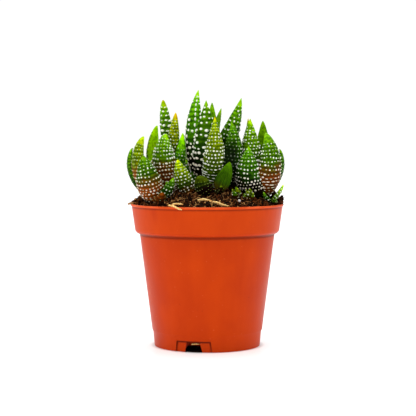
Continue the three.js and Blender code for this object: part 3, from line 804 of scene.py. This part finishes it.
def leafSpine(at, leaf, t, steps=160):
    fine = np.linspace(0, 1, steps + 1)
    along = leafDirections(leaf, (fine[1:] + fine[:-1]) / 2)[0] * leaf["length"] / steps
    line = np.vstack([np.zeros(3), np.cumsum(along, axis=0)])
    azimuth, out, aside = math.radians(leaf["azimuth"]), leaf["out"], leaf["aside"]
    start = np.array(at) + (out * math.cos(azimuth) - aside * math.sin(azimuth),
                            out * math.sin(azimuth) + aside * math.cos(azimuth), leaf["rise"])
    return start + np.stack([np.interp(t, fine, line[:, axis]) for axis in range(3)], axis=-1)


def rowNumber(leaf, t):
    return np.interp(t, leaf["rows"], np.arange(len(leaf["rows"])))


def leafDepth(leaf, share):
    return leafForm["depth"] * leaf["width"] * share ** leafForm["depthTaper"]


def leafSurface(at, leaf, t, angle):
    # Points on a leaf at share t of its length; angles 0 to pi go round its outer face
    _, side, inner = leafDirections(leaf, t)
    share = widthShare(leaf, t)
    wave = 1 + leafForm["wave"] * np.sin(t * leaf["length"] * leafForm["waveTurn"] + leaf["azimuth"])
    bulge = np.sin(angle)
    depth = leafDepth(leaf, share) * (1 + leafForm["keel"] * np.clip(t * 2 - 0.9, 0, 1) * np.abs(bulge) ** 5)
    swell = leafForm["innerSwell"] * leaf["width"] * share
    ridges = leafForm["ridge"] * np.cos(2 * np.pi * rowNumber(leaf, t)) * np.minimum(1, share * 2)
    outward = np.where(bulge > 0, (depth + ridges) * bulge, -swell * bulge ** 2)
    across = leaf["width"] / 2 * share * wave * np.cos(angle)
    return leafSpine(at, leaf, t) + side * across[..., None] - inner * outward[..., None]


def leafBlank():
    # A filled circle drawn out row by row and gathered to a point: z runs from 0 to 1 along the leaf
    blank = addMesh("circle", vertices=leafForm["columns"], radius=1, fill_type="NGON")
    startEdit(blank, select="SELECT")
    for row in range(leafForm["rows"]):
        bpy.ops.mesh.extrude_region_move(TRANSFORM_OT_translate={"value": (0, 0, 1 / leafForm["rows"])})
    bpy.ops.mesh.merge(type="CENTER")
    faceOutward(inside=True)  # leafSurface mirrors it, which turns it outward
    return blank


def pearlBlank():
    # A low dome with a flared foot
    blank = addMesh("uv_sphere", segments=8, ring_count=6, radius=1)
    startEdit(blank, select="SELECT")
    bpy.ops.mesh.bisect(plane_co=(0, 0, 0.02), plane_no=(0, 0, 1), use_fill=True, clear_inner=True)
    faceOutward()
    for vertex in blank.data.vertices:
        if vertex.co.z < 0.1:
            vertex.co = Vector((vertex.co.x * 1.18, vertex.co.y * 1.18, -0.15))
    return blank


def pearlRows(leaf, draw):
    # How far along the leaf each row of pearls stands: closer together near the tip and the foot
    rows, t = [], 1 - leaf["bare"]
    while t > leaf["start"]:
        rows.append(t)
        spread = 1.12 - 0.35 * max(0, t - 0.7) / 0.3 - leaf["crowd"] * max(0, 0.45 - t) / 0.45
        t -= leaf["pitch"] / leaf["length"] * spread * draw.uniform(0.88, 1.12)
    return np.array(rows[::-1])


def pearlPlaces(leaf, draw):
    # Share along, angle round, half width across and half length along for each pearl
    places = []
    length, pitch, size = leaf["length"], leaf["pitch"], leaf["pearl"] * 0.5
    for row, t in enumerate(leaf["rows"]):
        share = float(widthShare(leaf, t))
        arc = math.pi * math.sqrt(((leaf["width"] / 2 * share) ** 2 + leafDepth(leaf, share) ** 2) / 2)
        bar = leaf["bars"] * max(0, min(1, (leaf["barReach"] - t) / 0.2))
        keeled = leaf["keel"] and t > 0.6
        count = max(1, round(arc / ((leaf["room"] + 0.35 * bar) * pitch)))
        sizeHere = size * (pearlForm["least"] + (1 - pearlForm["least"]) * share) * (1 - 0.1 * bar)
        slant, phase, shift = draw.gauss(0, 0.1), draw.uniform(0, fullTurn), 0.25 if row % 2 else -0.25
        if keeled:
            places.append((t, leaf["keel"] + draw.gauss(0, 0.04), sizeHere * 0.85, sizeHere * 1.6))
        for k in range(count):
            angle = math.pi * (k + 0.5 + shift) / count + draw.gauss(0, 0.16) / count
            wide = 1 + bar * draw.uniform(*pearlForm["barred"])
            wide += draw.uniform(*pearlForm["longer"]) if draw.random() < pearlForm["long"] else 0
            spread = sizeHere * draw.uniform(*pearlForm["size"])
            tall = draw.uniform(0.85, 1.3 if t > 0.5 else 1.1)
            if draw.random() < pearlForm["kept"] and not (keeled and abs(angle - leaf["keel"]) < 0.5):
                sway = slant * math.cos(angle) + 0.13 * math.sin(3 * angle + phase) + draw.gauss(0, 0.06)
                tall *= spread * (1 - 0.2 * bar)
                places.append((t + sway * pitch / length, angle, spread * wide, tall))
        if draw.random() < leaf["edged"]:
            edge = pearlForm["edgeAngle"]
            edge = edge if shift > 0 else math.pi - edge  # the edge that this row leaves bare
            edgeSize = sizeHere * draw.uniform(*pearlForm["edgeSize"])
            places.append((t, edge + draw.gauss(0, 0.06), edgeSize, edgeSize * 1.05))
    return np.array(places).reshape(-1, 4)


def pearlShapes(at, leaf, spots, dome):
    # The dome stood on the leaf at each spot, across, along and out of its surface
    t, angle, wide, tall = spots.T
    step = 0.002
    centre = leafSurface(at, leaf, t, angle)
    onward = leafSurface(at, leaf, t + step, angle) - centre
    sideways = leafSurface(at, leaf, t, angle - step) - centre
    shapes = np.repeat(centre[:, None], len(dome), axis=1)
    outward = np.cross(sideways, onward)
    for axis, (way, size) in enumerate(((sideways, wide), (onward, tall), (outward, tall * 0.85))):
        way = way / np.linalg.norm(way, axis=-1)[:, None]
        shapes += dome[None, :, axis, None] * size[:, None, None] * way[:, None]
    return shapes * mm


def sideShade(leaf, t, angles):
    # One side of a leaf may lie in a deep gap: 1 there, and 0 on the other side and near the tip
    side = leaf["shadeSide"]
    return np.clip(0.7 + 1.6 * side * np.cos(angles), 0, 1) * np.clip((0.9 - t) * 4, 0, 1) * abs(side)


def gather(marks, repeats=1):
    # What was noted leaf by leaf, as one row of values for each attribute
    counts = [len(mark["along"]) for mark in marks]
    return {key: np.concatenate([np.repeat(np.broadcast_to(mark[key], count).astype(float), repeats)
                                 for mark, count in zip(marks, counts)]) for key in marks[0]}


def buildRosette(name, rosette, blank, pearl):
    draw = random.Random(name)
    at, stem, leaves = rosette
    points, dome = blankPoints(blank), blankPoints(pearl)
    angles = np.arctan2(points[:, 1], points[:, 0])
    facesIn = np.sin(angles) < -0.01
    t = 1 - (1 - np.clip(points[:, 2], 0, 1)) ** 1.2
    shells, pearls, marks, dots = [], [], [], []
    for row in leaves:
        own = row[-1] if len(row) > len(leafKeys) else {}
        leaf = {**leafUsual, **dict(zip(leafKeys, row)), **own}
        leaf["rows"] = pearlRows(leaf, draw)
        shells.append(leafSurface(at, leaf, t, angles) * mm)
        tone = leaf["tone"] * (1 + (leaf["lowTone"] - 1) * np.clip(1 - t * 2, 0, 1))
        marks.append({
            "along": t, "across": np.cos(angles) * leaf["width"] / 2, "inner": facesIn,
            "row": rowNumber(leaf, t), "shade": sideShade(leaf, t, angles),
            "tone": np.where(facesIn, tone * leaf["innerTone"], tone),
            **{key: leaf[key] for key in ("foot", "char", "gold", "tip")}})
        spots = pearlPlaces(leaf, draw)
        pearls.append(pearlShapes(at, leaf, spots, dome))
        dots.append({
            "along": spots[:, 0], "foot": leaf["foot"], "shade": sideShade(leaf, spots[:, 0], spots[:, 1]),
            "milk": np.clip((np.sqrt(spots[:, 2] * spots[:, 3]) - 0.1) / 0.2, 0, 1)})
    shell = manyCopies(name, blank, np.stack(shells))
    paint(shell, **gather(marks))
    pearls = np.concatenate(pearls)
    beads = manyCopies(name + "_pearls", pearl, pearls)
    onPearl = np.tile(np.clip(dome[:, 2] * 2 + 0.8, 0, 1), len(pearls))
    paint(beads, pearl=onPearl, char=0.6, gold=0.2, tone=1.0, **gather(dots, len(dome)))
    shadeSmooth(shell, 60)
    shadeSmooth(beads)
    x, y, z = at
    foot = addMesh("cylinder", (x * mm, y * mm, (z - stem * stemForm["sink"]) * mm),
                   vertices=24, radius=stem * mm, depth=stem * stemForm["depth"] * mm)
    applyModifier(foot, "BEVEL", width=stem * stemForm["round"] * mm, segments=3)
    paint(foot, foot=1.0, char=1.0, tone=1.0)
    return joinPieces(name, [shell, beads, foot])


leafMaterial, tree = startMaterial("haworthiaLeaf", Roughness=0.42, Specular_IOR_Level=0.02)
along, inner, foot, tone, shade = [
    readMark(tree, name) for name in ("along", "inner", "foot", "tone", "shade")]
cloudy = addGrain(tree, 260.0)["Value"]
wander = calc(cloudy, "-", 0.5)
climb = calc(along, "+", calc(wander, "*", 0.35))
# The green runs from dark low down to bright at the top: partly the leaf's own colour, partly painted shade
# low in the rosette
green = mixColour(ramp(climb, 0.25, 1.05), (14, 60, 0), (86, 152, 0))
yellow = mixColour(ramp(climb, 0.1, 0.95), (58, 72, 0), (150, 168, 0))
golden = calc(readMark(tree, "gold"), "*", ramp(climb, 0.1, 0.85, 0.4, 1.0))
body = mixColour(golden, green, yellow)
mottled = ramp(addGrain(tree, 800.0)["Value"], 0.36, 0.64)
mottle = mixColour(mottled, (0.52, 0.6, 0.56, 1), (1.36, 1.28, 1.05, 1))
body = mixColour(1.0, body, mottle, "MULTIPLY")
across = calc(readMark(tree, "across"), "*", 1.6)
stripe = addNode("CombineXYZ", {0: across, 1: along}).outputs[0]
streaks = ramp(addGrain(tree, 2.2, place=stripe)["Value"], 0.35, 0.75)
body = tint(body, calc(inner, "*", streaks), 0.6, (124, 180, 4))
# painted light: the top of each leaf is tinted paler and brighter
body = tint(body, ramp(climb, 0.86, 1.1), 0.7, (132, 176, 0))
ember = calc(readMark(tree, "tip"), "*", ramp(climb, 0.9, 1.08))
body = mixColour(ember, body, (196, 124, 0))

# The foot is brown, darkened towards near black as painted shade low in the rosette; less so on the inner
# face
outer = calc(1.0, "-", inner)
brown = mixColour(readMark(tree, "char"), (150, 74, 14), (12, 6, 2))
footMask = calc(ramp(calc(foot, "-", climb), -0.12, 0.14), "*", calc(calc(outer, "*", 0.5), "+", 0.5))
body = mixColour(footMask, body, brown)

# Painted light and shade on the outer face: lighter on the ridges that carry the pearls and darker between
# them
rowHere = calc(readMark(tree, "row"), "+", calc(wander, "*", 1.1))
wave = addNode("Math", {0: calc(rowHere, "*", 2 * math.pi)}, operation="COSINE").outputs[0]
ridge = calc(calc(wave, "+", 1.0), "*", 0.5)
furrow = calc(1.0, "-", ridge)
body = mixColour(calc(ridge, "*", outer), body, (1.6, 1.45, 1.1, 1), "MULTIPLY")
body = mixColour(calc(furrow, "*", outer), body, (0.5, 0.6, 0.5, 1), "MULTIPLY")
body = tint(body, addSpecks(tree, 700.0, 0.3), 0.3, (110, 96, 40))  # dust

# painted light: the leaf grows brighter towards its tip
tipTone = calc(ramp(climb, 0.72, 0.98), "*", 0.45)
tone = calc(tone, "+", calc(tone, "*", tipTone))
dim = addNode("CombineColor", {0: tone, 1: tone, 2: 0.8}).outputs[0]
body = mixColour(1.0, body, dim, "MULTIPLY")
body = tint(body, shade, 0.92, (4, 8, 2))
bead = tint((252, 255, 242), footMask, 0.4, (244, 214, 186))
bead = mixColour(readMark(tree, "milk"), (150, 190, 70), bead)
bead = tint(bead, shade, 0.9, (30, 50, 16))
feedShader(tree, Base_Color=mixColour(readMark(tree, "pearl"), body, bead),
           Roughness=ramp(cloudy, 0.3, 0.7, 0.34, 0.5), Normal=addGrain(tree, 2600.0, 0.00004)["Normal"])

blank, pearl = leafBlank(), pearlBlank()
draw = random.Random(spiral["seed"])
for name, row in spiralRosettes.items():
    rule = dict(zip(spiralKeys, row))
    rosettes[name] = (rule["at"], rule["stem"], spiralLeaves(rule, draw))
for name, rosette in rosettes.items():
    piece = buildRosette(name, rosette, blank, pearl)
    piece.name = "leaves_" + name
    finishPiece(piece, "leaf", leafMaterial, name)
    print("Grown", name, len(rosette[-1]), "leaves,", len(piece.data.polygons), "faces")
bpy.data.objects.remove(blank)
bpy.data.objects.remove(pearl)

# Dry roots and straw
roots = {
    "root_long": {"radius": 0.46, "runs": [
        [(-3.6, -22.5, 58.1), (-1.7, -22.6, 58.5), (0.1, -22.9, 58.2), (1.9, -23.4, 57.6),
         (3.9, -24.2, 57.3), (5.8, -25.2, 56.6), (8.2, -26.2, 56.1)]]},
    "root_forked": {"radius": 0.36, "runs": [
        [(-14.6, -24.4, 56.4), (-13.4, -26.5, 56.35), (-12.2, -28, 56.1), (-11, -29, 55.5), (-9.4, -30, 55)],
        [(-13.4, -26.5, 56.35), (-12.4, -26, 56.9), (-10.9, -25.6, 57), (-9, -26.2, 56.8)]]},
    "straw_left": {"radius": 0.5, "dirt": 0.75, "runs": [
        [(-30.95, -3, 55.8), (-29.7, -3.9, 56.2), (-27.6, -5, 56.7)]]},
}


def drawRun(run, radius):
    bpy.ops.object.select_all(action="DESELECT")
    bpy.ops.curve.primitive_nurbs_path_add(location=(0, 0, 0))
    tube = bpy.context.object
    line = tube.data
    line.splines.clear()
    spline = line.splines.new("BEZIER")
    spline.bezier_points.add(len(run) - 1)
    for point, spot in zip(spline.bezier_points, run):
        point.co = Vector(spot) * mm
        point.handle_left_type = point.handle_right_type = "AUTO"
    spline.bezier_points[0].radius, spline.bezier_points[-1].radius = 0.75, 0.55
    line.dimensions, line.resolution_u = "3D", 16
    line.bevel_depth, line.bevel_resolution, line.use_fill_caps = radius * mm, 4, True
    bpy.ops.object.convert(target="MESH")
    return bpy.context.object


def drawRoot(name, root):
    piece = joinPieces("strand_" + name, [drawRun(run, root["radius"]) for run in root["runs"]])
    startEdit(piece, select="SELECT")
    bpy.ops.mesh.remove_doubles(threshold=0.00001)
    faceOutward()
    roughen(piece, "knots", "CLOUDS", 1.1, root["radius"] * 0.5)
    paint(piece, dirt=root.get("dirt", 0))
    shadeSmooth(piece)
    return piece


rootMaterial, tree = startMaterial("dryRoot", Roughness=0.7, Specular_IOR_Level=0.3)
fibrous = addGrain(tree, 1800.0, 0.00015)
colour = mixColour(ramp(fibrous["Value"], 0.3, 0.7), (216, 136, 48), (255, 232, 154))
colour = mixColour(readMark(tree, "dirt"), colour, (112, 58, 24))
feedShader(tree, Base_Color=colour, Normal=fibrous["Normal"])
for name, root in roots.items():
    finishPiece(drawRoot(name, root), "root", rootMaterial, name)

# A pale bit of root pushed against the front drain slot
slotRoot = {"at": (-4.4, -19.3, 3.32), "half": (1.7, 0.5, 0.38), "skew": 0.25, "droop": 0.3}
rootEnd = addMesh("uv_sphere", segments=20, ring_count=12, radius=1)
for vertex in rootEnd.data.vertices:
    x, y, z = vertex.co
    bent = Vector((0, x * slotRoot["skew"], -x * x * slotRoot["droop"]))
    vertex.co = (Vector(slotRoot["at"]) + vertex.co * Vector(slotRoot["half"]) + bent) * mm
roughen(rootEnd, "rootEnd", "CLOUDS", 0.9, 0.3)
rootEnd.name = rootEnd.data.name = "root_end_in_slot"
paint(rootEnd, dirt=np.clip(blankPoints(rootEnd)[:, 2] / mm * 3.4 - 10.9, 0, 0.9))  # its top is darker
shadeSmooth(rootEnd)
finishPiece(rootEnd, "root", rootMaterial)

# The white grain
white = {"at": (12.1, -22, 57.95), "radius": 0.5}
perlite = addMesh("ico_sphere", [v * mm for v in white["at"]], subdivisions=4, radius=white["radius"] * mm)
roughen(perlite, "pores", "CLOUDS", 0.5, 0.35)
perlite.name = perlite.data.name = "perlite_bead"
shadeSmooth(perlite)
perliteMaterial, tree = startMaterial("perlite", Roughness=0.85, Specular_IOR_Level=0.2)
pores = addGrain(tree, 3000.0, 0.0001)
feedShader(tree, Base_Color=mixColour(pores["Value"], (214, 210, 200), (252, 252, 248)),
           Normal=pores["Normal"])
finishPiece(perlite, "grain", perliteMaterial, "perlite_grain")
print("Roots and grain laid")
